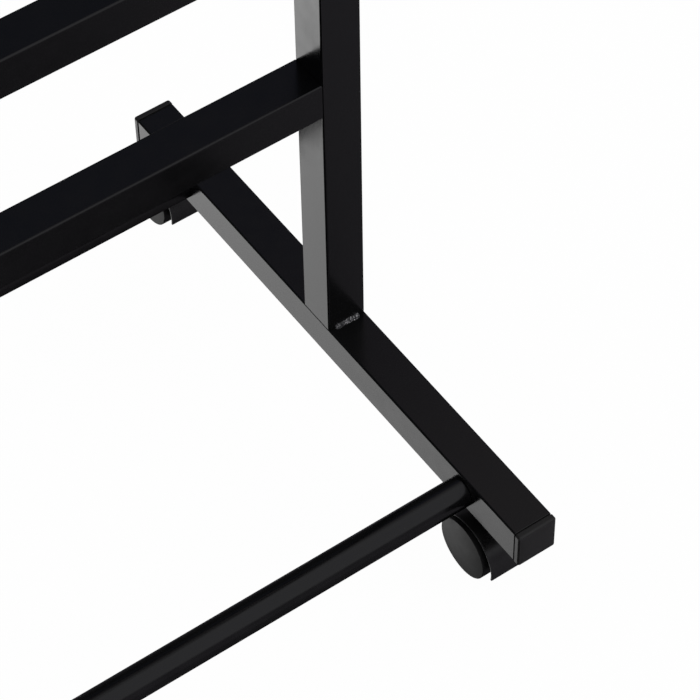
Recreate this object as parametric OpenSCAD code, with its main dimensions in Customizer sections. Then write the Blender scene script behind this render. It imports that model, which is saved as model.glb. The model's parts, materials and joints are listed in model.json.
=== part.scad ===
// Rolling background support: two posts welded on long feet, joined by bolted crossbars,
// round rails in front and behind, hooded twin-wheel casters and a lift-out roll bar in open hooks.
// Floor at z = 0, +Z up, front at -Y, the stand is centred on the origin.

/* [Square tube] */
// Side of the square tube of posts, feet and crossbars
tube_w = 40; // [36:1:44]
// Wall of the square tube
tube_wall = 1.5; // [1.2:0.1:1.7]
// Outer corner radius of the square tube
tube_corner = 2; // [1.8:0.1:3]

/* [Stand] */
// Width over the outer faces of the posts
stand_w = 1500; // [1000:10:3000]
// Height to the top of the post caps
stand_h = 2000; // [1700:10:2600]
// Length of a foot over its end caps
foot_len = 617; // [600:1:800]
// Height of the underside of the feet
foot_under = 79; // [76:1:84]
// Height of the underside of the lower crossbar
lower_bar_z = 404; // [250:1:500]
// Height of the underside of the middle crossbar
middle_bar_z = 613; // [580:1:1200]
// Distance from the top of the posts down to the top crossbar's upper face
top_bar_drop = 105; // [105:1:300]

/* [End caps] */
// Thickness of a cap's visible head
cap_head = 6; // [5:0.5:8]
// Corner radius of a cap's head
cap_corner = 2.5; // [2:0.1:4]
// Radius of the edges of a cap's end face
cap_round = 2.5; // [1.5:0.1:2.5]
// Length of a cap's ribbed insert
cap_insert = 22; // [18:1:30]

/* [Round rails] */
// Diameter of the round rails and of the roll bar
rail_d = 30; // [26:1:32]
// Wall of the round tubes
rail_wall = 1.5; // [1.2:0.1:2]
// Distance of the front and back rails from the posts' centre plane
rail_pitch = 224.5; // [120:0.5:226]

/* [Casters] */
// Distance of the caster stems from the posts' centre plane
caster_pitch = 260; // [256:0.5:262]
// Wheel diameter
wheel_d = 63; // [60:1:63]
// Trail of the axle behind the stem
caster_trail = 22.8; // [22:0.1:24]
// Distance of the wheels' outer edge from the caster's centre plane
wheel_edge = 28; // [27:0.5:30]
// Bulge of a wheel's closed outer face
wheel_bulge = 2.6; // [1:0.1:3]
// Half width of the hood
hood_half = 24.5; // [24:0.5:28]
// Outer radius of the hood
hood_r = 37.5; // [37.4:0.1:38.2]
// Thickness of the hood's shell
hood_wall = 2.1; // [1.8:0.1:2.2]

/* [Roll hooks] */
// Distance of the roll bar in front of the posts' centre plane
bar_front = 80; // [70:1:120]
// Distance from the top of the posts down to the roll bar's axis
bar_drop = 50; // [45:1:60]
// Thickness of a hook plate
hook_plate = 6; // [5:0.5:8]

/* [Hidden] */
$fn = 64;

// Running clearance of pins and journals, clearance of loose fits
run = 0.05;
gap = 0.3;

// Frame
post_x = stand_w / 2 - tube_w / 2;
inner_x = stand_w / 2 - tube_w;
foot_mid = foot_under + tube_w / 2;
foot_top = foot_under + tube_w;
foot_tube = foot_len - 2 * cap_head;
post_top = stand_h - cap_head;
top_bar_z = stand_h - top_bar_drop - tube_w;
bars = [lower_bar_z, middle_bar_z, top_bar_z];
tube_in = tube_w - 2 * tube_wall;
corner_in = tube_corner - tube_wall;

// Socket button screws M8 and hexagon nuts
screw_r = 4;
screw_hole_r = 4.25;
screw_head_r = 7;
screw_head_h = 4.4;
screw_socket = 5;
screw_socket_h = 2.6;
nut_af = 13;
nut_h = 6.5;
bolt_spread = 22;
end_plate = 5;
bar_screw_len = 52;
rail_plug_len = 24;
hook_screw_len = tube_w + hook_plate + 9;

// Caps
cap_core = tube_in - 7;
cap_core_wall = 2;
cap_fin = 1.2;
cap_fins = 3;

// Weld beads
bead_len = 20;
bead_r = 3.2;
bead_end_r = 3.7;

// Casters
CASTERS = [
    ["front_left", -1, -1],
    ["front_right", 1, -1],
    ["back_left", -1, 1],
    ["back_right", 1, 1]
];
SIDES = [["left", -1], ["right", 1]];
wheel_r = wheel_d / 2;
wheel_inner = 7.5;
wheel_skin = 2.5;
wheel_rim = 3;
hub_r = 7.5;
rib_w = 2;
rib_count = 8;
axle_r = 3;
axle_half = wheel_edge - 4.5;
snap_pos = axle_half - 4.5;
snap_w = 1.2;
snap_depth = 0.4;
hood_y = caster_trail - 2.5;
hood_z = wheel_r - 2.4;
hood_back = 40;
hood_lip = 190;
hood_web = 4;
boss_r = 7;
boss_half = 7;
socket_r = 6.5;
pin_r = 4;
pin_low = 34;
socket_low = 38;
collar_af = 17;
collar_h = 5;
collar_low = foot_under - collar_h;
thread_r = 5;
thread_len = 15;
weld_nut_h = 8;
ring_r = 5.6;
ring_h = 1;
groove_r = 3.2;

// Roll bar and hooks
journal_r = 10;
bar_z = stand_h - bar_drop;
bar_half = inner_x - hook_plate - 3;
shoulder = 2.4;
flange = 3.4;
hook_horn_r = 22;
hook_horn_h = 18;
hook_base_w = tube_w - 2;
hook_base_h = 80;
hook_base_top = 20;
hook_screw_z = [stand_h - 35, stand_h - 85];

// Colours
coat = [0.07, 0.07, 0.075];
cap_black = [0.1, 0.1, 0.1];
nylon = [0.2, 0.2, 0.2];
zinc = [0.72, 0.73, 0.75];
bead_grey = [0.16, 0.16, 0.16];

// Plain shapes used by several pieces

module rounded_rect(w, h, r) {
    square([w, h - 2 * r], center = true);
    square([w - 2 * r, h], center = true);
    for (x = [-1, 1], y = [-1, 1])
        translate([x * (w / 2 - r), y * (h / 2 - r)])
            circle(r);
}

module square_tube(len) {
    linear_extrude(len, center = true)
        difference() {
            rounded_rect(tube_w, tube_w, tube_corner);
            rounded_rect(tube_in, tube_in, corner_in);
        }
}

module round_tube(len, d, wall) {
    linear_extrude(len, center = true)
        difference() {
            circle(d = d);
            circle(d = d - 2 * wall);
        }
}

// Turns a shape built along +Z so that it runs along +X, with its own X towards +Y
module along_x() {
    rotate([90, 0, 90])
        children();
}

module along_y() {
    rotate([90, 0, 0])
        children();
}

// A hole through both walls of a tube, across the stand
module cross_hole(r) {
    along_x()
        cylinder(r = r, h = 2 * tube_w, center = true);
}

module hexagon(af, h) {
    cylinder(d = af / cos(30), h = h, $fn = 6);
}

// Button screw with its head on z = 0 and its shank along -Z
module button_screw(len) {
    difference() {
        rotate_extrude()
            polygon([
                [0, screw_head_h], [screw_head_r * 0.45, screw_head_h],
                [screw_head_r * 0.8, screw_head_h * 0.7], [screw_head_r, 0.8],
                [screw_head_r, 0], [screw_r, 0], [screw_r, 1 - len],
                [screw_r - 1, -len], [0, -len]
            ]);
        translate([0, 0, screw_head_h - screw_socket_h])
            hexagon(screw_socket, screw_socket_h + 1);
    }
}

// A screw that enters the stand's left (-1) or right (1) outer face
module side_screw(side, y, z, len) {
    translate([side * stand_w / 2, y, z])
        rotate([0, side * 90, 0])
            button_screw(len);
}

function bolt_heights(bar) = [for (s = [-1, 1]) bar + tube_w / 2 + s * bolt_spread / 2];

// Welded side frames

module foot(side) {
    color(coat)
        difference() {
            translate([side * post_x, 0, foot_mid])
                along_y()
                    square_tube(foot_tube);
            for (y = [-caster_pitch, caster_pitch])
                translate([side * post_x, y, foot_under - 1])
                    cylinder(r = thread_r + gap, h = tube_wall + 2);
            for (y = [-rail_pitch, rail_pitch])
                translate([side * post_x, y, foot_mid])
                    cross_hole(screw_hole_r);
        }
}

module post(side) {
    color(coat)
        difference() {
            translate([side * post_x, 0, (foot_top + post_top) / 2])
                square_tube(post_top - foot_top);
            for (bar = bars, z = bolt_heights(bar))
                translate([side * post_x, 0, z])
                    cross_hole(screw_hole_r);
            for (z = hook_screw_z)
                translate([side * post_x, 0, z])
                    cross_hole(screw_hole_r);
        }
}

// Fillet bead with thicker ends, in the corner of the foot's top and the post
module bead() {
    intersection() {
        union() {
            along_x()
                cylinder(r = bead_r, h = bead_len, center = true);
            for (x = [-1, 1])
                translate([x * bead_len / 2, 0, 0])
                    sphere(bead_end_r);
        }
        translate([-bead_len, -2 * bead_end_r, 0])
            cube([2 * bead_len, 2 * bead_end_r, 2 * bead_end_r]);
    }
}

module post_weld(side) {
    color(bead_grey)
        for (turn = [0, 180])
            translate([side * post_x, 0, foot_top])
                rotate(turn)
                    translate([0, -tube_w / 2, 0])
                        bead();
}

// Side view of a cap's head, standing on y = 0, with round upper corners
module cap_side() {
    flat = tube_w - 2 * cap_round;
    translate([-tube_w / 2, 0])
        square([tube_w, cap_head - cap_round]);
    translate([-flat / 2, 0])
        square([flat, cap_head]);
    for (x = [-1, 1])
        translate([x * flat / 2, cap_head - cap_round])
            circle(cap_round);
}

// Tube cap along +Z: rounded head above z = 0, hollow insert with fins below
module tube_cap() {
    intersection() {
        linear_extrude(cap_head)
            rounded_rect(tube_w, tube_w, cap_corner);
        along_x()
            linear_extrude(2 * tube_w, center = true)
                cap_side();
        along_y()
            linear_extrude(2 * tube_w, center = true)
                cap_side();
    }
    translate([0, 0, -cap_insert])
        linear_extrude(cap_insert)
            difference() {
                square(cap_core, center = true);
                square(cap_core - 2 * cap_core_wall, center = true);
            }
    for (i = [1:cap_fins])
        translate([0, 0, -i * cap_insert / (cap_fins + 0.5)])
            linear_extrude(cap_fin)
                difference() {
                    rounded_rect(tube_in - gap, tube_in - gap, corner_in);
                    square(cap_core - 2 * cap_core_wall, center = true);
                }
}

module foot_cap(side, end) {
    color(cap_black)
        translate([side * post_x, end * foot_tube / 2, foot_mid])
            rotate([-end * 90, 0, 0])
                tube_cap();
}

module post_cap(side) {
    color(cap_black)
        translate([side * post_x, 0, post_top])
            tube_cap();
}

// Crossbars

module crossbar(bar) {
    color(coat)
        translate([0, 0, bar + tube_w / 2])
            along_x()
                square_tube(2 * inner_x);
}

module crossbar_end_plates() {
    color(coat)
        for (bar = bars, side = [-1, 1])
            translate([side * (inner_x - end_plate / 2), 0, bar + tube_w / 2])
                along_x()
                    linear_extrude(end_plate, center = true)
                        difference() {
                            rounded_rect(tube_in - gap, tube_in - gap, corner_in);
                            for (s = [-1, 1])
                                translate([0, s * bolt_spread / 2])
                                    circle(screw_r + run);
                        }
}

module crossbar_bolts(side) {
    color(zinc)
        for (bar = bars, z = bolt_heights(bar))
            side_screw(side, 0, z, bar_screw_len);
}

// Round rails, in front of the posts (-1) and behind them (1)

module rail(end) {
    color(coat)
        translate([0, end * rail_pitch, foot_mid])
            along_x()
                round_tube(2 * inner_x, rail_d, rail_wall);
}

module rail_plugs() {
    plug_r = rail_d / 2 - rail_wall - run;
    color(zinc)
        for (end = [-1, 1], side = [-1, 1])
            translate([side * (inner_x - rail_plug_len / 2), end * rail_pitch, foot_mid])
                along_x()
                    round_tube(rail_plug_len, 2 * plug_r, plug_r - screw_r - run);
}

module rail_bolts() {
    color(zinc)
        for (end = [-1, 1], side = [-1, 1])
            side_screw(side, end * rail_pitch, foot_mid, tube_w + rail_plug_len - 4);
}

// Casters, built with the stem's axis on the origin and the floor at z = 0

module at_caster(c) {
    translate([c[1] * post_x, c[2] * caster_pitch, 0])
        children();
}

module caster_weld_nuts() {
    color(zinc)
        for (c = CASTERS)
            at_caster(c)
                translate([0, 0, foot_under + tube_wall])
                    difference() {
                        hexagon(collar_af, weld_nut_h);
                        translate([0, 0, -1])
                            cylinder(r = thread_r + run, h = weld_nut_h + 2);
                    }
}

module caster_stem(c) {
    ring_z = socket_low - gap - ring_h;
    thread_top = foot_under + thread_len;
    color(zinc)
        at_caster(c) {
            rotate_extrude()
                polygon([
                    [0, pin_low], [pin_r - 0.5, pin_low], [pin_r, pin_low + 0.5],
                    [pin_r, ring_z - 0.1], [groove_r, ring_z - 0.1],
                    [groove_r, ring_z + ring_h + 0.1], [pin_r, ring_z + ring_h + 0.1],
                    [pin_r, collar_low + 1], [0, collar_low + 1]
                ]);
            translate([0, 0, collar_low])
                hexagon(collar_af, collar_h);
            rotate_extrude()
                polygon([
                    [0, foot_under - 1], [thread_r, foot_under - 1], [thread_r, thread_top - 1],
                    [thread_r - 1, thread_top], [0, thread_top]
                ]);
        }
}

// Split snap ring in the stem's groove, which keeps the hood on the stem
module caster_ring(c) {
    split = 2.4;
    color(zinc)
        at_caster(c)
            translate([0, 0, socket_low - gap - ring_h])
                linear_extrude(ring_h)
                    difference() {
                        circle(ring_r);
                        circle(groove_r + run);
                        translate([-split / 2, 0])
                            square([split, 2 * ring_r]);
                    }
}

// Side view of the hood's shell, from the front lip over the top to the back edge
module hood_arc() {
    sweep = hood_lip - hood_back;
    reach = 2 * hood_r;
    intersection() {
        difference() {
            circle(hood_r);
            circle(hood_r - hood_wall);
        }
        polygon(concat(
            [[0, 0]],
            [for (i = [0:3]) reach * [cos(hood_back + i * sweep / 3), sin(hood_back + i * sweep / 3)]]
        ));
    }
}

// Side view of the middle web, which ties the shell, the stem socket and the axle boss together
module hood_web_outline() {
    low = wheel_r - boss_r;
    intersection() {
        translate([hood_y, hood_z])
            circle(hood_r - hood_wall / 2);
        polygon([
            [-hood_r, socket_low], [socket_r + 1, socket_low], [caster_trail - boss_r, low],
            [caster_trail + boss_r, low], [hood_y + hood_r, wheel_r + 2 * boss_r],
            [hood_y + hood_r, 2 * hood_r], [-hood_r, 2 * hood_r]
        ]);
    }
}

module caster_hood(c) {
    color(cap_black)
        at_caster(c)
            difference() {
                union() {
                    along_x()
                        linear_extrude(2 * hood_half, center = true)
                            translate([hood_y, hood_z])
                                hood_arc();
                    along_x()
                        linear_extrude(hood_web, center = true)
                            hood_web_outline();
                    translate([0, 0, socket_low])
                        cylinder(r = socket_r, h = collar_low - gap - socket_low);
                    translate([0, caster_trail, wheel_r])
                        along_x()
                            cylinder(r = boss_r, h = 2 * boss_half, center = true);
                }
                cylinder(r = pin_r + run, h = foot_under);
                translate([0, caster_trail, wheel_r])
                    along_x()
                        cylinder(r = axle_r + run, h = 2 * hood_half, center = true);
            }
}

module caster_axle(c) {
    color(zinc)
        at_caster(c)
            translate([0, caster_trail, wheel_r])
                along_x()
                    difference() {
                        rotate_extrude()
                            polygon([
                                [0, -axle_half], [axle_r - 0.5, -axle_half], [axle_r, 0.5 - axle_half],
                                [axle_r, axle_half - 0.5], [axle_r - 0.5, axle_half], [0, axle_half]
                            ]);
                        for (side = [-1, 1])
                            translate([0, 0, side * (snap_pos + snap_w / 2)])
                                linear_extrude(snap_w, center = true)
                                    difference() {
                                        circle(2 * axle_r);
                                        circle(axle_r - snap_depth);
                                    }
                    }
}

// Half section of a wheel: radius along X, distance from the caster's centre plane along Y
module wheel_section() {
    face = wheel_edge - wheel_skin;
    dome_r = (wheel_r * wheel_r + wheel_bulge * wheel_bulge) / (2 * wheel_bulge);
    intersection() {
        difference() {
            polygon([
                [0, wheel_inner], [wheel_r - 1, wheel_inner], [wheel_r, wheel_inner + 1],
                [wheel_r, wheel_edge - 1.6], [wheel_r - 0.5, wheel_edge - 0.5],
                [wheel_r - 1.6, wheel_edge], [wheel_r - 1.6, 2 * wheel_edge], [0, 2 * wheel_edge]
            ]);
            translate([hub_r, 0])
                square([wheel_r - wheel_rim - hub_r, face]);
            square([axle_r + run, axle_half + gap]);
        }
        translate([0, wheel_edge + wheel_bulge - dome_r])
            circle(dome_r, $fn = 720);
    }
    translate([axle_r - snap_depth + run, snap_pos + 0.2])
        square([snap_depth + 1, snap_w - 0.4]);
}

module wheel(c, side) {
    color(nylon)
        at_caster(c)
            translate([0, caster_trail, wheel_r])
                rotate([0, side * 90, 0]) {
                    rotate_extrude()
                        wheel_section();
                    for (i = [0:rib_count - 1])
                        rotate(i * 360 / rib_count)
                            translate([hub_r - 0.5, -rib_w / 2, wheel_inner + 3])
                                cube([
                                    wheel_r - wheel_rim - hub_r + 1,
                                    rib_w,
                                    wheel_edge - wheel_skin - wheel_inner - 2.5
                                ]);
                }
}

// Roll hooks and roll bar

module hook_outline() {
    difference() {
        union() {
            translate([0, stand_h - hook_base_top - hook_base_h / 2])
                rounded_rect(hook_base_w, hook_base_h, cap_corner);
            polygon([
                [0, stand_h - hook_base_top - hook_base_h + 4],
                [0, stand_h - hook_base_top - 30],
                [hook_horn_r / 2 - bar_front, bar_z + hook_horn_r / 2],
                [-bar_front, bar_z - hook_horn_r * 0.95]
            ]);
            translate([-bar_front, bar_z])
                circle(hook_horn_r);
            translate([-bar_front - hook_horn_r, bar_z])
                square([2 * hook_horn_r, hook_horn_h]);
        }
        translate([-bar_front, bar_z]) {
            circle(journal_r + run);
            translate([-journal_r - run, 0])
                square([2 * (journal_r + run), 2 * hook_horn_h]);
        }
        for (z = hook_screw_z)
            translate([0, z])
                circle(screw_hole_r);
    }
}

module roll_hook(side) {
    color(coat)
        translate([side * (inner_x - hook_plate / 2), 0, 0])
            along_x()
                linear_extrude(hook_plate, center = true)
                    hook_outline();
}

module hook_bolts() {
    color(zinc)
        for (side = [-1, 1], z = hook_screw_z)
            side_screw(side, 0, z, hook_screw_len);
}

module hook_nuts() {
    color(zinc)
        for (side = [-1, 1], z = hook_screw_z)
            translate([side * (inner_x - hook_plate), 0, z])
                rotate([0, -side * 90, 0])
                    difference() {
                        hexagon(nut_af, nut_h);
                        translate([0, 0, -1])
                            cylinder(r = screw_r + run, h = nut_h + 2);
                    }
}

module roll_bar() {
    color(coat)
        translate([0, -bar_front, bar_z])
            along_x()
                round_tube(2 * bar_half, rail_d, rail_wall);
}

module roll_bar_plug(side) {
    spigot_r = rail_d / 2 - rail_wall - run;
    plate_out = inner_x - bar_half + 0.6;
    color(cap_black)
        translate([side * bar_half, -bar_front, bar_z])
            rotate([0, side * 90, 0])
                rotate_extrude()
                    polygon([
                        [0, -cap_insert], [spigot_r - 1, -cap_insert], [spigot_r, 1 - cap_insert],
                        [spigot_r, 0], [rail_d / 2, 0], [rail_d / 2, shoulder], [journal_r, shoulder],
                        [journal_r, plate_out], [rail_d / 2, plate_out],
                        [rail_d / 2, plate_out + flange - 1], [rail_d / 2 - 1, plate_out + flange],
                        [0, plate_out + flange]
                    ]);
}

for (s = SIDES) {
    foot(s[1]);
    post(s[1]);
    post_weld(s[1]);
    foot_cap(s[1], -1);
    foot_cap(s[1], 1);
    post_cap(s[1]);
    crossbar_bolts(s[1]);
    roll_hook(s[1]);
    roll_bar_plug(s[1]);
}
crossbar(lower_bar_z);  // lower_crossbar
crossbar(middle_bar_z);  // middle_crossbar
crossbar(top_bar_z);  // top_crossbar
crossbar_end_plates();
rail(-1);  // front_rail
rail(1);  // back_rail
rail_plugs();
rail_bolts();
caster_weld_nuts();
hook_bolts();
hook_nuts();
roll_bar();
for (c = CASTERS) {
    caster_stem(c);
    caster_ring(c);
    caster_hood(c);
    caster_axle(c);
    wheel(c, -1);
    wheel(c, 1);
}
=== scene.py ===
"""Looks of the rolling background support: tubes, caps, welds, casters, finishes, light and camera."""

import json
import math

import bmesh
import bpy
from mathutils import Matrix, Vector


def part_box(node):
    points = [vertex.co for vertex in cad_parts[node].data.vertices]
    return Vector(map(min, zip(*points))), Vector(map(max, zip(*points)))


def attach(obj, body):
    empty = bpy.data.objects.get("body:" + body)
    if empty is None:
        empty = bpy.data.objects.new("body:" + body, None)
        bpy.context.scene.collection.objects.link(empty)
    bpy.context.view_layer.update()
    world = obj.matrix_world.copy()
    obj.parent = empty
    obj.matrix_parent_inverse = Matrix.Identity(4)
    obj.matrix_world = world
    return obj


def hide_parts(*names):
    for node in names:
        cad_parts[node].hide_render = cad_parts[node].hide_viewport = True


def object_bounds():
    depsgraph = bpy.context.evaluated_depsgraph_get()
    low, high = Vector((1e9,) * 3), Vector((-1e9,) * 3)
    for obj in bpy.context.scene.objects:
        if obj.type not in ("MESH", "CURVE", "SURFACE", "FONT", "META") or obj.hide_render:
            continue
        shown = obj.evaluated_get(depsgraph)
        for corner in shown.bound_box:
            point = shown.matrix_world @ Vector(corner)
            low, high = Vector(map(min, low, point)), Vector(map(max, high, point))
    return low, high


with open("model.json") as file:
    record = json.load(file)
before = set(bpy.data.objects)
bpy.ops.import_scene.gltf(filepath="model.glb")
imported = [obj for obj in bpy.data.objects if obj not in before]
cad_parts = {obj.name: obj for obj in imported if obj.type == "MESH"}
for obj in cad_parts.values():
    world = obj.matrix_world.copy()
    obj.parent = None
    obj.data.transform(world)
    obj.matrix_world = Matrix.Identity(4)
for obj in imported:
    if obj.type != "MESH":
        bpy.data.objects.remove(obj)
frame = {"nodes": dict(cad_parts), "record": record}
cad_low, cad_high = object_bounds()

MM = 0.001
SIDES = ("left", "right")
CASTERS = ("front_left", "front_right", "back_left", "back_right")
BARS = ("lower_crossbar", "middle_crossbar", "top_crossbar")
RAILS = ("front_rail", "back_rail")

# Steps of a round corner, a small round edge and a full turn
CORNER_STEPS = 8
EDGE_STEPS = 4
ROUND_STEPS = 96

# Radius that a turned face keeps at its axis
AXIS_R = 0.01

# Tubes; this and all other sizes of pieces are in millimetres
TUBE_WALL = 1.5
TUBE_CORNER = 2.0
TUBE_END_ROUND = 0.6
RAIL_WALL = 1.5

# End caps: the head, the groove under it, which the foot is cut back for, and the finned insert
CAP_HEAD = 6.0
CAP_CORNER = 2.5
CAP_LEAST_CORNER = 0.8
CAP_PROUD = 0.4
CAP_ROUND = 2.5
CAP_CROWN = 0.2
CAP_CROWN_STEPS = (0.15, 0.4, 0.7, 1.0)
CAP_LAP = 2.0
CAP_SEAM = 1.5
CAP_NECK = 1.8
CAP_UNDER = 0.3
CAP_INSERT = 22.0
CAP_CORE = 30.0
CAP_CORE_CORNER = 1.0
CAP_CORE_WALL = 2.0
CAP_FINS = 3
CAP_FIN = 1.2
CAP_FIN_CORNER = 0.5
CAP_FIN_PLAY = 0.3

# Weld beads: thicker at their ends, rippled along their length, with slow and fast lumps; waves in radians
BEAD_HALF = 10.0
BEAD_R = 3.2
BEAD_END_R = 3.7
BEAD_END_SPREAD = 2.2
BEAD_TIP_R = 0.02
BEAD_RINGS = 110
BEAD_STEPS = 12
RIPPLE_PITCH = 2.3
RIPPLE_DEPTH = 0.7
RIPPLE_BOW = 0.9
RIPPLE_DRIFT = 0.15
DRIFT_WAVE = 1.7
SLOW_LUMP = 0.30
SLOW_WAVE = 0.9
SLOW_PHASE = 1.3
FAST_LUMP = 0.18
FAST_WAVE = 3.1
FAST_SLANT = 4

# Socket button screws
SCREW_R = 4.0
SCREW_TIP = 1.0
SCREW_HEAD_R = 7.0
SCREW_HEAD_H = 4.4
SCREW_HEAD_SIDE = 0.8
SCREW_HEAD_EDGE = 0.2
SCREW_FLAT_R = 3.9
SOCKET_AF = 5.0
SOCKET_DEPTH = 2.6
SOCKET_FLARE = 0.5
SOCKET_FLARE_DEPTH = 0.3
BOLT_SPREAD = 22.0
BAR_SCREW = 52.0
RAIL_SCREW = 60.0
HOOK_SCREW = 55.0
HOOK_SCREW_DROPS = (35.0, 85.0)

# Wheels, measured from the wheel's axis and from the caster's centre plane
WHEEL_INNER = 7.5
WHEEL_EDGE = 28.0
WHEEL_BULGE = 2.6
WHEEL_ROUND = 0.8
WHEEL_RIM = 3.0
WHEEL_SKIN = 2.5
HUB_R = 7.5
HUB_BORE = 3.05
HUB_DEPTH = 23.8
RIB_COUNT = 8
RIB_W = 2.0
RIB_CORNER = 0.5
RIB_SET_BACK = 3.0
RIB_SINK = 0.5
DOME_STEPS = 14
EDGE_BREAK = 0.6

# Hoods, whose arc is centred a little in front of the axle and below it; back, lip and web's back in degrees
HOOD_R = 37.5
HOOD_AHEAD = 2.5
HOOD_BELOW = 2.4
HOOD_WALL = 2.1
HOOD_ROUND = 0.6
HOOD_LEAST_ROUND = 0.05
HOOD_BACK = 40.0
HOOD_LIP = 190.0
HOOD_STEPS = 60
WEB = 4.0
WEB_BACK = 22.0
WEB_PAST_SOCKET = 1.0
WEB_STEPS = 40
SOCKET_R = 6.5
SOCKET_BORE = 4.05
SOCKET_LOW = 38.0
BOSS_R = 7.0
BOSS_HALF = 7.0

# Roll bar plugs
PLUG_SHOULDER = 2.4
PLUG_FLANGE = 3.4
PLUG_OUT = 9.6
PLUG_PLAY = 0.05
PLUG_TIP = 1.0
PLUG_EDGE = 0.5
PLUG_DISH = 0.8
PLUG_DISH_RIM = 3.2
JOURNAL_R = 10.0


# Mesh helpers

def arc(x, y, radius, start, end, steps=CORNER_STEPS):
    """Points on a circle about (x, y), from one angle to another in degrees."""
    angles = [math.radians(start + (end - start) * i / steps) for i in range(steps + 1)]
    return [(x + radius * math.cos(a), y + radius * math.sin(a)) for a in angles]


def rounded_loop(width, height, radius, steps=CORNER_STEPS):
    """Outline of a rounded rectangle, counter-clockwise."""
    x, y = width / 2 - radius, height / 2 - radius
    return (arc(x, y, radius, 0, 90, steps) + arc(-x, y, radius, 90, 180, steps)
            + arc(-x, -y, radius, 180, 270, steps) + arc(x, -y, radius, 270, 360, steps))


def circle_loop(radius, steps=ROUND_STEPS):
    return arc(0, 0, radius, 0, 360, steps)[:-1]


def hexagon_loop(across_flats, steps=ROUND_STEPS):
    """Outline of a hexagon with as many points as a circle's, so that the two can be joined."""
    loop = []
    for x, y in circle_loop(1, steps):
        off_flat = (math.atan2(y, x) + math.pi / 6) % (math.pi / 3) - math.pi / 6
        reach = across_flats / 2 / math.cos(off_flat)
        loop.append((x * reach, y * reach))
    return loop


def at_height(loop, height):
    return [(x, y, height) for x, y in loop]


def loft(rings, closed=False):
    """Vertices and faces of a skin over rings of equal length, capped at its ends or closed on itself."""
    count = len(rings[0])
    verts = [p for ring in rings for p in ring]
    faces = []
    for r in range(len(rings) if closed else len(rings) - 1):
        a, b = r * count, (r + 1) % len(rings) * count
        for i in range(count):
            j = (i + 1) % count
            faces.append((a + i, a + j, b + j, b + i))
    if not closed:
        faces.append(tuple(reversed(range(count))))
        faces.append(tuple((len(rings) - 1) * count + i for i in range(count)))
    return verts, faces


def turned(profile, closed=False):
    """A profile of (radius, height) turned about +Z; a closed profile leaves a bore."""
    return loft([at_height(circle_loop(max(r, AXIS_R)), h) for r, h in profile], closed)


def joined(*shapes):
    """One list of vertices and faces from several."""
    verts, faces = [], []
    for shape_verts, shape_faces in shapes:
        start = len(verts)
        verts += shape_verts
        faces += [tuple(start + i for i in face) for face in shape_faces]
    return verts, faces


def moved(shape, place):
    """A shape carried by a matrix whose translation is in millimetres."""
    verts, faces = shape
    return [tuple(place @ Vector(v)) for v in verts], faces


def axes(x_axis, y_axis, z_axis, origin=(0, 0, 0)):
    """Matrix that carries a shape's own axes to the given directions at origin."""
    turn = Matrix((x_axis, y_axis, z_axis)).transposed().to_4x4()
    return Matrix.Translation(origin) @ turn


def along(x=0, y=0, z=0):
    """Axes for a shape that runs along one of the frame's directions, forward or backward."""
    if x:
        return (0, x, 0), (0, 0, 1), (x, 0, 0)
    if y:
        return (0, 0, y), (1, 0, 0), (0, y, 0)
    return (1, 0, 0), (0, z, 0), (0, 0, z)


def piece(name, shape, place, material, body, stands_for=(), smooth=32.0):
    """A mesh object from a shape in millimetres, put in place, that rides on a body and stands for nodes."""
    verts, faces = shape
    mesh = bpy.data.meshes.new(name)
    mesh.from_pydata([Vector(v) * MM for v in verts], [], faces)
    mesh.transform(place)
    built = bmesh.new()
    built.from_mesh(mesh)
    bmesh.ops.recalc_face_normals(built, faces=built.faces)
    built.to_mesh(mesh)
    built.free()
    mesh.shade_smooth()
    mesh.set_sharp_from_angle(angle=math.radians(smooth))
    mesh.materials.append(material)
    obj = bpy.data.objects.new(name, mesh)
    bpy.context.scene.collection.objects.link(obj)
    weighted = obj.modifiers.new("even_shading", "WEIGHTED_NORMAL")
    weighted.keep_sharp = True
    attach(obj, body)
    if stands_for:
        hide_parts(*stands_for)
    return obj


def middle(node):
    low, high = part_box(node)
    return (low + high) / 2


def span(node):
    low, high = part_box(node)
    return (high - low) / MM


# Materials

def shader(name):
    material = bpy.data.materials.new(name)
    material.use_nodes = True
    tree = material.node_tree
    return material, tree, tree.nodes["Principled BSDF"]


def noise(tree, scale, detail, roughness=0.5):
    """Noise in the object's own space, so that it moves with the piece."""
    coords = tree.nodes.new("ShaderNodeTexCoord")
    node = tree.nodes.new("ShaderNodeTexNoise")
    node.inputs["Scale"].default_value = scale
    node.inputs["Detail"].default_value = detail
    node.inputs["Roughness"].default_value = roughness
    tree.links.new(coords.outputs["Object"], node.inputs["Vector"])
    return node.outputs["Fac"]


def ramp(tree, source, stops):
    node = tree.nodes.new("ShaderNodeValToRGB")
    elements = node.color_ramp.elements
    while len(elements) < len(stops):
        elements.new(0.5)
    for element, (position, colour) in zip(elements, stops):
        element.position = position
        element.color = (*colour, 1)
    tree.links.new(source, node.inputs["Fac"])
    return node.outputs["Color"]


def mapped(tree, source, from_low, from_high, to_low, to_high, kind="LINEAR"):
    node = tree.nodes.new("ShaderNodeMapRange")
    node.interpolation_type = kind
    node.inputs["From Min"].default_value = from_low
    node.inputs["From Max"].default_value = from_high
    node.inputs["To Min"].default_value = to_low
    node.inputs["To Max"].default_value = to_high
    tree.links.new(source, node.inputs["Value"])
    return node.outputs["Result"]


def bump(tree, bsdf, source, strength, distance):
    node = tree.nodes.new("ShaderNodeBump")
    node.inputs["Strength"].default_value = strength
    node.inputs["Distance"].default_value = distance
    tree.links.new(source, node.inputs["Height"])
    tree.links.new(node.outputs["Normal"], bsdf.inputs["Normal"])


# The stretch of noise values that most of a surface has
NOISE_LOW = 0.3
NOISE_HIGH = 0.7


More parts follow.
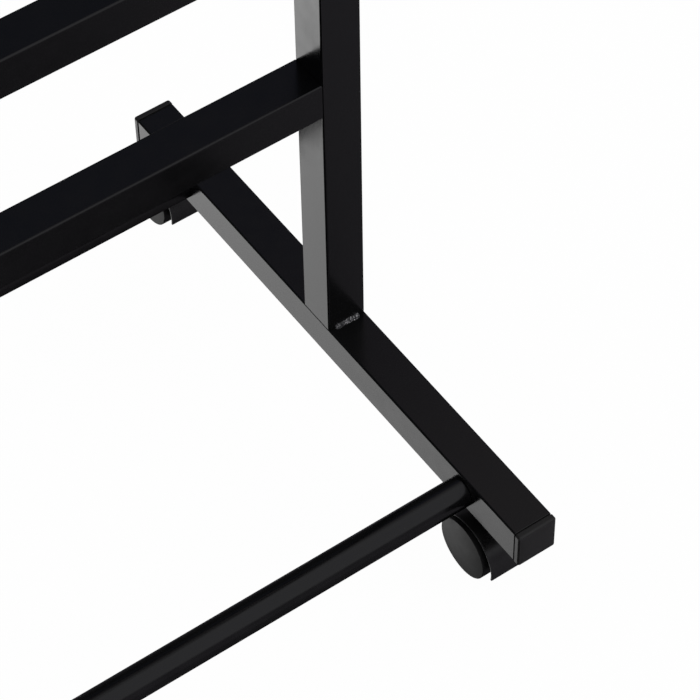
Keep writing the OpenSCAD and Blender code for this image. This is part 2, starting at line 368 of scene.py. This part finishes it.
def coated(name, dark, light, rough, peel, peel_scale, specular=0.5):
    """Sprayed or moulded black: slow colour drift, uneven gloss and a fine skin texture."""
    material, tree, bsdf = shader(name)
    bsdf.inputs["Specular IOR Level"].default_value = specular
    drift = noise(tree, scale=9.0, detail=4.0)
    gloss = noise(tree, scale=60.0, detail=5.0)
    skin = noise(tree, peel_scale, detail=2.0)
    colour = ramp(tree, drift, [(NOISE_LOW, dark), (NOISE_HIGH, light)])
    tree.links.new(colour, bsdf.inputs["Base Color"])
    tree.links.new(mapped(tree, gloss, NOISE_LOW, NOISE_HIGH, *rough), bsdf.inputs["Roughness"])
    bump(tree, bsdf, skin, strength=peel, distance=0.0002)
    return material


COAT = coated("powder_coat", (0.0010, 0.0011, 0.0014), (0.0016, 0.0016, 0.0017),
              rough=(0.17, 0.23), peel=0.12, peel_scale=650.0)
CAP = coated("cap_plastic", (0.0088, 0.0088, 0.0090), (0.0120, 0.0118, 0.0116),
             rough=(0.28, 0.34), peel=0.12, peel_scale=900.0, specular=0.38)
HOOD = coated("hood_plastic", (0.0030, 0.0030, 0.0031), (0.0042, 0.0042, 0.0042),
              rough=(0.26, 0.34), peel=0.10, peel_scale=900.0)
NYLON = coated("wheel_nylon", (0.0030, 0.0030, 0.0031), (0.0042, 0.0042, 0.0041),
               rough=(0.36, 0.42), peel=0.12, peel_scale=1100.0, specular=0.165)


def weld_with_painted_glints():
    """Coated weld: random specks a millimetre or two across, from near-black up to pale grey, with a grainy
    skin. The pale specks are painted glints and sheen, and they are also glossier.
    """
    material, tree, bsdf = shader("coated_weld_painted_glints")
    glint_specks = noise(tree, scale=620.0, detail=3.0, roughness=0.7)
    grain = noise(tree, scale=1500.0, detail=2.0)
    # The pale stops are painted glints and sheen on the black-coated weld; the darkest stop is near the
    # coat's own black.
    colour = ramp(tree, glint_specks, [(0.42, (0.006, 0.006, 0.007)), (0.52, (0.035, 0.035, 0.038)),
                               (0.58, (0.110, 0.108, 0.116)), (0.65, (0.480, 0.475, 0.490))])
    tree.links.new(colour, bsdf.inputs["Base Color"])
    tree.links.new(mapped(tree, glint_specks, 0.4, 0.6, 0.45, 0.25), bsdf.inputs["Roughness"])
    bump(tree, bsdf, grain, strength=0.7, distance=0.0003)
    return material


def zinc_plated():
    """Plated steel: cloudy bright grey with a very fine grain."""
    material, tree, bsdf = shader("zinc_steel")
    cloud = noise(tree, scale=160.0, detail=4.0)
    fine = noise(tree, scale=1400.0, detail=2.0)
    colour = ramp(tree, cloud, [(NOISE_LOW, (0.52, 0.53, 0.55)), (NOISE_HIGH, (0.68, 0.68, 0.70))])
    tree.links.new(colour, bsdf.inputs["Base Color"])
    tree.links.new(mapped(tree, cloud, NOISE_LOW, NOISE_HIGH, 0.28, 0.42), bsdf.inputs["Roughness"])
    bsdf.inputs["Metallic"].default_value = 1.0
    bump(tree, bsdf, fine, strength=0.08, distance=0.0001)
    return material


BEAD = weld_with_painted_glints()
ZINC = zinc_plated()
SLOT_MATERIAL = {"frame_coat": COAT, "weld_coat": BEAD, "cap_plastic": CAP, "hood_plastic": HOOD,
                 "wheel_nylon": NYLON, "zinc_steel": ZINC}

for part in frame["record"]["subparts"]:
    cad_mesh = frame["nodes"][part["node"]].data
    cad_mesh.materials.clear()
    cad_mesh.materials.append(SLOT_MATERIAL[part["material_slot"]])


# Tubes of the frame

def shrunk(loop, by):
    """A loop about the origin drawn in by a small distance."""
    return [(x * (1 - by / math.hypot(x, y)), y * (1 - by / math.hypot(x, y))) for x, y in loop]


def tube_shape(outer, inner, length):
    """A cut tube along +Z about the origin, its outer end edges slightly rounded."""
    half = length / 2
    rounding = arc(-TUBE_END_ROUND, half - TUBE_END_ROUND, TUBE_END_ROUND, 0, 90, EDGE_STEPS)
    sections = [(inner, half), (inner, -half)]
    sections += [(shrunk(outer, -out), -height) for out, height in reversed(rounding)]
    sections += [(shrunk(outer, -out), height) for out, height in rounding]
    return loft([at_height(loop, height) for loop, height in sections], closed=True)


def square_tube(node, direction, length_axis, trim=0.0):
    """A square tube in a node's place, cut back by trim at each end."""
    size = span(node)
    width = min(size)
    inner_width = width - 2 * TUBE_WALL
    outer = rounded_loop(width, width, TUBE_CORNER)
    inner = rounded_loop(inner_width, inner_width, TUBE_CORNER - TUBE_WALL)
    shape = tube_shape(outer, inner, size[length_axis] - 2 * trim)
    piece(node + "_tube", shape, axes(*direction, middle(node)), COAT, "frame", [node])


def round_tube(node, body):
    """A round tube along X in a node's place."""
    size = span(node)
    radius = size[1] / 2
    shape = tube_shape(circle_loop(radius), circle_loop(radius - RAIL_WALL), size[0])
    piece(node + "_tube", shape, axes(*along(x=1), middle(node)), COAT, body, [node])


for side in SIDES:
    square_tube("foot_" + side, along(y=1), 1, CAP_LAP)
    square_tube("post_" + side, along(z=1), 2)
for bar in BARS:
    square_tube(bar, along(x=1), 0)
for rail in RAILS:
    round_tube(rail, "frame")
round_tube("roll_bar", "roll_bar")


# End caps

def square_sleeve(outer, corner, inner, low, high):
    """A hollow square sleeve between two heights."""
    outside, inside = rounded_loop(outer, outer, corner), rounded_loop(inner, inner, corner)
    sections = [(outside, low), (outside, high), (inside, high), (inside, low)]
    return loft([at_height(loop, height) for loop, height in sections], closed=True)


def cap_shape(width, lap):
    """Cap along +Z for a tube cut back by lap: a neck, a head with round edges and a finned insert."""
    rim, head = CAP_HEAD - CAP_CROWN, width + 2 * CAP_PROUD
    seam = CAP_SEAM - lap
    section = [(CAP_NECK, -lap), (CAP_NECK, seam)]
    section += [(CAP_UNDER - x, seam + y) for x, y in arc(0, CAP_UNDER, CAP_UNDER, -90, 0, EDGE_STEPS)]
    section += [(CAP_ROUND - x, y) for x, y in arc(0, rim - CAP_ROUND, CAP_ROUND, 0, 90)]
    section += [(CAP_ROUND + t * head / 4, rim + CAP_CROWN * t * (2 - t)) for t in CAP_CROWN_STEPS]
    rings = []
    for inset, height in section:
        side_length, corner = head - 2 * inset, max(CAP_CORNER - inset, CAP_LEAST_CORNER)
        rings.append(at_height(rounded_loop(side_length, side_length, corner), height))
    bore = CAP_CORE - 2 * CAP_CORE_WALL
    core = square_sleeve(CAP_CORE, CAP_CORE_CORNER, bore, -CAP_INSERT, seam)
    fin_width = width - 2 * TUBE_WALL - CAP_FIN_PLAY
    lows = [-CAP_INSERT * (i + 1) / (CAP_FINS + 0.5) for i in range(CAP_FINS)]
    fins = [square_sleeve(fin_width, CAP_FIN_CORNER, bore, low, low + CAP_FIN) for low in lows]
    return joined(loft(rings), core, *fins)


def end_cap(node, tube, lap, **outward):
    """A cap on a tube's end that looks along outward."""
    low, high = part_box(tube)
    seat = (low + high) / 2
    for axis, sign in outward.items():
        setattr(seat, axis, getattr(high if sign > 0 else low, axis))
    place = axes(*along(**outward), seat)
    piece(node + "_moulding", cap_shape(min(span(tube)), lap), place, CAP, "frame", [node])


for side in SIDES:
    end_cap("foot_cap_front_" + side, "foot_" + side, CAP_LAP, y=-1)
    end_cap("foot_cap_back_" + side, "foot_" + side, CAP_LAP, y=1)
    end_cap("post_cap_" + side, "post_" + side, 0.0, z=1)


# Weld beads

def bead_shape():
    """A rippled fillet bead along X in the corner of z = 0 and y = 0, on the side of -Y."""
    reach = BEAD_HALF + BEAD_END_R
    rings = []
    for i in range(BEAD_RINGS + 1):
        x = -reach * math.cos(math.pi * i / BEAD_RINGS)
        past = max(abs(x) - BEAD_HALF, 0)
        bulb = math.sqrt(max(BEAD_END_R ** 2 - past ** 2, BEAD_TIP_R ** 2))
        neck = BEAD_R + (BEAD_END_R - BEAD_R) * math.exp(-((abs(x) - BEAD_HALF) / BEAD_END_SPREAD) ** 2)
        radius = min(bulb, neck)
        ring = [(x, 0, 0)]
        for angle in (math.pi / 2 * v / BEAD_STEPS for v in range(BEAD_STEPS + 1)):
            crest = math.sin(2 * angle)
            drift = RIPPLE_DRIFT * math.sin(x * DRIFT_WAVE)
            phase = 2 * math.pi * (x / RIPPLE_PITCH - RIPPLE_BOW * crest + drift)
            lump = SLOW_LUMP * math.sin(x * SLOW_WAVE + SLOW_PHASE)
            lump += FAST_LUMP * math.sin(x * FAST_WAVE + FAST_SLANT * angle)
            sink = RIPPLE_DEPTH * (1 - math.cos(phase)) / 2 + max(lump, 0)
            depth = radius - crest * sink * radius / BEAD_R
            ring.append((x, -depth * math.cos(angle), depth * math.sin(angle)))
        rings.append(ring)
    return loft(rings)


for side in SIDES:
    low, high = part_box("post_" + side)
    front = moved(bead_shape(), Matrix.Translation((0, low.y / MM, 0)))
    back = moved(front, Matrix.Rotation(math.pi, 4, "Z"))
    seat = Vector((middle("post_" + side).x, 0, low.z))
    node, place = "post_weld_" + side, Matrix.Translation(seat)
    piece(node + "_bead", joined(front, back), place, BEAD, "frame", [node], smooth=50.0)


# Socket button screws

def button_screw(length):
    """Head on z = 0 with a hexagon socket in its top, shank along -Z."""
    dome_r, dome_h = SCREW_HEAD_R - SCREW_FLAT_R, SCREW_HEAD_H - SCREW_HEAD_SIDE
    section = [(SCREW_R - SCREW_TIP, -length), (SCREW_R, SCREW_TIP - length), (SCREW_R, 0),
               (SCREW_HEAD_R - SCREW_HEAD_EDGE, 0), (SCREW_HEAD_R, SCREW_HEAD_EDGE)]
    section += [(SCREW_FLAT_R + dome_r * x, SCREW_HEAD_SIDE + dome_h * y) for x, y in arc(0, 0, 1, 0, 90)]
    rings = [at_height(circle_loop(r), h) for r, h in section]
    rings.append(at_height(hexagon_loop(SOCKET_AF + SOCKET_FLARE), SCREW_HEAD_H))
    rings.append(at_height(hexagon_loop(SOCKET_AF), SCREW_HEAD_H - SOCKET_FLARE_DEPTH))
    rings.append(at_height(hexagon_loop(SOCKET_AF), SCREW_HEAD_H - SOCKET_DEPTH))
    return loft(rings)


def side_screws(node, sides, places, length):
    """Screws that enter the stand's outer faces at each (y, z) in metres."""
    shapes = []
    for side in sides:
        sign = 1 if side == "right" else -1
        low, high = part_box("post_" + side)
        face = high.x if sign > 0 else low.x
        for y, z in places:
            shapes.append(moved(button_screw(length), axes(*along(x=sign), Vector((face, y, z)) / MM)))
    piece(node + "_screws", joined(*shapes), Matrix(), ZINC, "frame", [node])


bar_places = [(0, middle(bar).z + end * BOLT_SPREAD / 2 * MM) for bar in BARS for end in (-1, 1)]
for side in SIDES:
    side_screws("crossbar_bolts_" + side, [side], bar_places, BAR_SCREW)
side_screws("rail_bolts", SIDES, [tuple(middle(rail).yz) for rail in RAILS], RAIL_SCREW)
side_screws("hook_bolts", SIDES, [(0, cad_high[2] - drop * MM) for drop in HOOK_SCREW_DROPS], HOOK_SCREW)


# Casters

def wheel_shape(radius):
    """A wheel about +Z with a closed domed face outside, and a hub and ribs inside."""
    def dome(r):
        return WHEEL_EDGE + WHEEL_BULGE * (1 - (r / radius) ** 2)

    face, rim = WHEEL_EDGE - WHEEL_SKIN, radius - WHEEL_RIM
    low = WHEEL_INNER + EDGE_BREAK
    shoulder = radius - WHEEL_ROUND
    section = [(0, HUB_DEPTH), (HUB_BORE, HUB_DEPTH), (HUB_BORE, low), (HUB_BORE + EDGE_BREAK, WHEEL_INNER),
               (HUB_R - EDGE_BREAK, WHEEL_INNER), (HUB_R, low), (HUB_R, face), (rim, face), (rim, low),
               (rim + EDGE_BREAK, WHEEL_INNER), (radius - 2 * EDGE_BREAK, WHEEL_INNER),
               (radius, WHEEL_INNER + 2 * EDGE_BREAK)]
    section += arc(shoulder, dome(shoulder) - WHEEL_ROUND, WHEEL_ROUND, 0, 90, 10)
    dome_radii = [shoulder * (1 - i / DOME_STEPS) for i in range(1, DOME_STEPS + 1)]
    section += [(r, dome(r)) for r in dome_radii]
    loop = rounded_loop(rim - HUB_R + 2 * RIB_SINK, RIB_W, RIB_CORNER, 3)
    slab = moved(loft([at_height(loop, WHEEL_INNER + RIB_SET_BACK), at_height(loop, face + RIB_SINK)]),
                 Matrix.Translation(((rim + HUB_R) / 2, 0, 0)))
    ribs = [moved(slab, Matrix.Rotation(2 * math.pi * i / RIB_COUNT, 4, "Z")) for i in range(RIB_COUNT)]
    return joined(turned(section), *ribs)


def hood_shell(y, z, half):
    """The arched shell: a strip with round edges swept from its back edge over the top to its front lip."""
    sweep_r = HOOD_R - HOOD_WALL / 2
    rounding = arc(0, 0, HOOD_ROUND, 0, 90, 5)
    ends = [(HOOD_ROUND - x, math.degrees((HOOD_ROUND - h) / sweep_r)) for h, x in rounding]
    first, last = HOOD_BACK + ends[-1][1], HOOD_LIP - ends[-1][1]
    stations = [(HOOD_BACK + turn, inset) for inset, turn in ends]
    stations += [(first + (last - first) * i / HOOD_STEPS, 0) for i in range(1, HOOD_STEPS)]
    stations += [(HOOD_LIP - turn, inset) for inset, turn in reversed(ends)]
    rings = []
    for angle, inset in stations:
        c, s = math.cos(math.radians(angle)), math.sin(math.radians(angle))
        corner = HOOD_ROUND - inset + HOOD_LEAST_ROUND
        strip = rounded_loop(2 * (half - inset), HOOD_WALL - 2 * inset, corner, 6)
        rings.append([(u, y + (sweep_r + v) * c, z + (sweep_r + v) * s) for u, v in strip])
    return loft(rings)


def hood_web(y, z, axle_y, axle_z):
    """The flat web that ties the shell, the stem socket and the axle boss together."""
    reach = HOOD_R - HOOD_WALL / 2
    front = 180 - math.degrees(math.asin((SOCKET_LOW - z) / reach))
    low = axle_z - BOSS_R
    outline = [(SOCKET_R + WEB_PAST_SOCKET, SOCKET_LOW), (axle_y - BOSS_R, low), (axle_y + BOSS_R, low)]
    outline += arc(y, z, reach, WEB_BACK, front, WEB_STEPS)
    return loft([[(x, a, b) for a, b in outline] for x in (-WEB / 2, WEB / 2)])


def bored_boss(outer, bore, low, high):
    """A bored round boss about +Z with broken edges."""
    section = [(bore, low), (outer - EDGE_BREAK, low), (outer, low + EDGE_BREAK),
               (outer, high - EDGE_BREAK), (outer - EDGE_BREAK, high), (bore, high)]
    return turned(section, closed=True)


for caster in CASTERS:
    stem = middle(caster + "_caster_stem")
    foot_point = Vector((stem.x, stem.y, 0))
    axle = middle(caster + "_wheel_left")
    for side in SIDES:
        node = caster + "_wheel_" + side
        place = axes(*along(x=1 if side == "right" else -1), (stem.x, axle.y, axle.z))
        piece(node + "_moulding", wheel_shape(span(node)[1] / 2), place, NYLON, node, [node])
    top = (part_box(caster + "_caster_hood")[1] - foot_point) / MM
    axle_y, axle_z = (axle.y - stem.y) / MM, axle.z / MM
    hood_y, hood_z = axle_y - HOOD_AHEAD, axle_z - HOOD_BELOW
    at_axle = axes(*along(x=1), (0, axle_y, axle_z))
    boss = moved(bored_boss(BOSS_R, HUB_BORE, -BOSS_HALF, BOSS_HALF), at_axle)
    socket = bored_boss(SOCKET_R, SOCKET_BORE, SOCKET_LOW, top.z)
    shell = hood_shell(hood_y, hood_z, top.x)
    hood = joined(shell, hood_web(hood_y, hood_z, axle_y, axle_z), boss, socket)
    piece(caster + "_caster_hood_moulding", hood, Matrix.Translation(foot_point), HOOD, caster + "_caster",
          [caster + "_caster_hood"])


# Roll bar plugs

def plug_shape(bar_r):
    """End plug along +Z: spigot in the bar, shoulder, journal and a dished flange outside the hook."""
    spigot, top = bar_r - RAIL_WALL - PLUG_PLAY, PLUG_OUT + PLUG_FLANGE
    side, edge = bar_r - PLUG_EDGE, PLUG_EDGE
    section = [(0, -CAP_INSERT), (spigot - PLUG_TIP, -CAP_INSERT)]
    section += [(spigot, PLUG_TIP - CAP_INSERT), (spigot, 0)]
    section += arc(side, edge, edge, -90, 0, EDGE_STEPS)
    section += arc(side, PLUG_SHOULDER - edge, edge, 0, 90, EDGE_STEPS)
    section += [(JOURNAL_R, PLUG_SHOULDER), (JOURNAL_R, PLUG_OUT)]
    section += arc(side, PLUG_OUT + edge, edge, -90, 0, EDGE_STEPS)
    section += arc(bar_r - 2 * edge, top - 2 * edge, 2 * edge, 0, 90, 6)
    rim = bar_r - PLUG_DISH_RIM
    section += [(rim, top), (rim - PLUG_DISH, top - PLUG_DISH), (0, top - PLUG_DISH)]
    return turned(section)


for side in SIDES:
    sign = 1 if side == "right" else -1
    low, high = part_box("roll_bar")
    seat = Vector((high.x if sign > 0 else low.x, *middle("roll_bar").yz))
    node, shape = "roll_bar_plug_" + side, plug_shape(span("roll_bar")[1] / 2)
    piece(node + "_moulding", shape, axes(*along(x=sign), seat), CAP, "roll_bar", [node])


# Stage: floor, world, lamps and camera

def combined(tree, operation, first, second):
    node = tree.nodes.new("ShaderNodeMath")
    node.operation = operation
    tree.links.new(first, node.inputs[0])
    tree.links.new(second, node.inputs[1])
    return node.outputs[0]


def path_mix(tree, seen, other, *kinds):
    """Shows one shader to the named ray kinds and the other shader to the rest."""
    path = tree.nodes.new("ShaderNodeLightPath")
    total = path.outputs[kinds[0]]
    for kind in kinds[1:]:
        total = combined(tree, "MAXIMUM", total, path.outputs[kind])
    mix = tree.nodes.new("ShaderNodeMixShader")
    tree.links.new(total, mix.inputs["Fac"])
    tree.links.new(other, mix.inputs[1])
    tree.links.new(seen, mix.inputs[2])
    return mix.outputs["Shader"]


# Floor: side and drop under the wheels in metres, its grey, and how much of it is white light to the camera
FLOOR_SIZE = 80.0
FLOOR_DROP = 0.0003
FLOOR_GREY = 0.8
FLOOR_WHITE = 0.98


def floor_material():
    """White to the camera with a hint of shadow; reflections look through it at the studio."""
    material = bpy.data.materials.new("white_floor")
    material.use_nodes = True
    tree = material.node_tree
    tree.nodes.clear()
    out = tree.nodes.new("ShaderNodeOutputMaterial")
    paper = tree.nodes.new("ShaderNodeBsdfDiffuse")
    paper.inputs["Color"].default_value = (FLOOR_GREY, FLOOR_GREY, FLOOR_GREY, 1)
    white = tree.nodes.new("ShaderNodeEmission")
    white.inputs["Strength"].default_value = 1.0
    lit = tree.nodes.new("ShaderNodeMixShader")
    lit.inputs["Fac"].default_value = FLOOR_WHITE
    tree.links.new(paper.outputs[0], lit.inputs[1])
    tree.links.new(white.outputs[0], lit.inputs[2])
    clear = tree.nodes.new("ShaderNodeBsdfTransparent")
    mirrored = path_mix(tree, clear.outputs[0], paper.outputs[0], "Is Glossy Ray", "Is Transmission Ray")
    tree.links.new(path_mix(tree, lit.outputs[0], mirrored, "Is Camera Ray"), out.inputs["Surface"])
    return material


def make_floor():
    half = FLOOR_SIZE / 2
    mesh = bpy.data.meshes.new("floor")
    corners = [(-half, -half, 0), (half, -half, 0), (half, half, 0), (-half, half, 0)]
    mesh.from_pydata(corners, [], [(0, 1, 2, 3)])
    mesh.materials.append(floor_material())
    obj = bpy.data.objects.new("floor", mesh)
    obj.location.z = -FLOOR_DROP
    bpy.context.scene.collection.objects.link(obj)


# The studio: an even room lights the object, and the lists below are what its gloss mirrors, by direction.
# A fade is (from, to, level at from, level at to); a glow is a list of (position, level or colour).
ROOM = 0.60

# Bank of lights overhead, by the cosine of the angle to its middle
BANK_TOWARDS = (0.349, -0.521, 0.779)
BANK_GLOW = [(0.0, (0.03, 0.03, 0.03)), (0.20, (0.05, 0.052, 0.06)), (0.36, (0.08, 0.09, 0.13)),
             (0.41, (0.085, 0.098, 0.145)), (0.43, (0.095, 0.095, 0.125)), (0.47, (0.152, 0.130, 0.160)),
             (0.495, (0.172, 0.150, 0.160)), (0.515, (0.32, 0.29, 0.30)), (0.60, (0.29, 0.285, 0.29)),
             (0.72, (0.46, 0.46, 0.48)), (0.80, (0.54, 0.54, 0.56)), (0.95, (0.52, 0.52, 0.55))]

# Lit ground at the back left, by how far a direction points down
LEFT_X = (0.05, -0.42, 0.0, 1.0)
LEFT_Y = (0.18, 0.50, 0.0, 1.0)
LEFT_GLOW = [(0.10, 0.0), (0.35, 0.4), (0.60, 1.28), (0.70, 2.15), (0.72, 2.12), (0.745, 1.06),
             (0.765, 0.96), (0.78, 1.02), (0.80, 1.06), (0.82, 0.79), (0.90, 0.5)]

# Lit ground in front: its share from left (0) to right (1), and its level from front (0) to back (1)
FRONT_X = [(0.325, 0.05), (0.475, 0.95), (0.60, 0.75), (0.65, 0.20), (0.665, 0.30), (0.685, 1.0)]
FRONT_GLOW = [(0.05, 0.10), (0.194, 0.265), (0.20, 0.215), (0.215, 0.165), (0.2275, 0.105),
              (0.24, 0.125), (0.275, 0.18), (0.35, 0.12), (0.50, 0.05), (0.725, 0.012)]
FRONT_TINT = (1.0, 0.95, 1.06)

# Walls around, from front to back, that stop above the ground
WALL_Z = (-0.60, -0.30, 0.0, 1.0)
WALL_GLOW = [(0.06, 0.12), (0.18, 0.32), (0.50, 0.34), (0.64, 0.26), (0.70, 0.02), (0.81, 0.02),
             (0.84, 0.32), (0.92, 0.32), (0.955, 0.03)]

# Panels straight in front and straight behind, by the squares of x and y
PANEL_X = (0.04, 0.01, 0.0, 1.0)
PANEL_Y = (0.44, 0.64, 0.0, 0.60)

# Height at which the bank takes over from what is below
HORIZON = (0.12, 0.26, 0.0, 1.0)


def greys(stops):
    return [(position, (level, level, level)) for position, level in stops]


def product(tree, first, second):
    return combined(tree, "MULTIPLY", first, second)


def faded(tree, source, fade):
    return mapped(tree, source, *fade, "SMOOTHSTEP")


def background(tree, colour=(1, 1, 1)):
    node = tree.nodes.new("ShaderNodeBackground")
    node.inputs["Color"].default_value = (*colour, 1)
    return node


def bank_light(tree, direction):
    """The bank of lights overhead."""
    facing = tree.nodes.new("ShaderNodeVectorMath")
    facing.operation = "DOT_PRODUCT"
    facing.inputs[1].default_value = BANK_TOWARDS
    tree.links.new(direction, facing.inputs[0])
    light = background(tree)
    tree.links.new(ramp(tree, facing.outputs["Value"], BANK_GLOW), light.inputs["Color"])
    return light.outputs[0]


def low_light(tree, x, y, z):
    """What is below the horizon: the lit ground, the walls and the panels."""
    rightward, backward = mapped(tree, x, -1, 1, 0, 1), mapped(tree, y, -1, 1, 0, 1)
    left = product(tree, faded(tree, x, LEFT_X), faded(tree, y, LEFT_Y))
    left = product(tree, left, ramp(tree, mapped(tree, z, -1, 0, 1, 0), greys(LEFT_GLOW)))
    front = product(tree, ramp(tree, rightward, greys(FRONT_X)), ramp(tree, backward, greys(FRONT_GLOW)))
    wall = product(tree, faded(tree, z, WALL_Z), ramp(tree, backward, greys(WALL_GLOW)))
    x_squared, y_squared = product(tree, x, x), product(tree, y, y)
    panel = product(tree, faded(tree, x_squared, PANEL_X), faded(tree, y_squared, PANEL_Y))
    rest = combined(tree, "ADD", front, combined(tree, "ADD", wall, panel))
    left_light, rest_light = background(tree), background(tree, FRONT_TINT)
    tree.links.new(left, left_light.inputs["Strength"])
    tree.links.new(rest, rest_light.inputs["Strength"])
    both = tree.nodes.new("ShaderNodeAddShader")
    tree.links.new(left_light.outputs[0], both.inputs[0])
    tree.links.new(rest_light.outputs[0], both.inputs[1])
    return both.outputs[0]


def make_world():
    """White to the camera, an even room for diffuse light, and the studio's lights in reflections."""
    world = bpy.data.worlds.new("studio")
    bpy.context.scene.world = world
    world.use_nodes = True
    tree = world.node_tree
    tree.nodes.clear()
    out = tree.nodes.new("ShaderNodeOutputWorld")
    direction = tree.nodes.new("ShaderNodeTexCoord").outputs["Generated"]
    split = tree.nodes.new("ShaderNodeSeparateXYZ")
    tree.links.new(direction, split.inputs[0])
    x, y, z = (split.outputs[axis] for axis in "XYZ")
    studio = tree.nodes.new("ShaderNodeMixShader")
    tree.links.new(faded(tree, z, HORIZON), studio.inputs["Fac"])
    tree.links.new(low_light(tree, x, y, z), studio.inputs[1])
    tree.links.new(bank_light(tree, direction), studio.inputs[2])
    white, room = background(tree), background(tree, (ROOM, ROOM, ROOM))
    mirrored = path_mix(tree, studio.outputs[0], room.outputs[0], "Is Glossy Ray")
    tree.links.new(path_mix(tree, white.outputs[0], mirrored, "Is Camera Ray"), out.inputs["Surface"])


def soft_lamp(name, place, target, size, power):
    """A square area lamp that looks at a target, and shows neither itself nor its mirror image."""
    lamp = bpy.data.lights.new(name, "AREA")
    lamp.shape = "SQUARE"
    lamp.size = size
    lamp.energy = power
    obj = bpy.data.objects.new(name, lamp)
    obj.location = place
    obj.rotation_mode = "QUATERNION"
    obj.rotation_quaternion = (Vector(target) - Vector(place)).to_track_quat("-Z", "Y")
    obj.visible_camera = False
    obj.visible_glossy = False
    bpy.context.scene.collection.objects.link(obj)


make_floor()
make_world()
soft_lamp("left_softbox", place=(-2.4, 1.6, 3.0), target=(0.6, 0.0, 0.3), size=3.0, power=45.0)
soft_lamp("right_fill", place=(2.6, -2.0, 1.4), target=(0.73, -0.2, 0.1), size=1.2, power=30.0)

# Camera, solved from the straight tube edges in the photograph; place in metres, angles in degrees
SENSOR_MM = 36.0
PHOTO_PX = 700
FOCAL_PX = 3226.27
CAMERA_AT = (-0.32283, -1.55927, 2.41248)
CAMERA_AZIMUTH = 34.4434
CAMERA_ELEVATION = 51.4004
CAMERA_ROLL = -1.1061


def make_camera():
    az, el, roll = (math.radians(a) for a in (CAMERA_AZIMUTH, CAMERA_ELEVATION, CAMERA_ROLL))
    forward = Vector((math.sin(az) * math.cos(el), math.cos(az) * math.cos(el), -math.sin(el)))
    right = Vector((math.cos(az), -math.sin(az), 0))
    up = right.cross(forward)
    turned_right = right * math.cos(roll) + up * math.sin(roll)
    turned_up = up * math.cos(roll) - right * math.sin(roll)
    data = bpy.data.cameras.new("camera")
    data.sensor_width = SENSOR_MM
    data.lens = SENSOR_MM * FOCAL_PX / PHOTO_PX
    data.clip_start, data.clip_end = 0.1, 200.0
    obj = bpy.data.objects.new("camera", data)
    obj.matrix_world = axes(turned_right, turned_up, -forward, Vector(CAMERA_AT))
    bpy.context.scene.collection.objects.link(obj)
    bpy.context.scene.camera = obj


make_camera()
bpy.context.scene.view_settings.view_transform = "Standard"
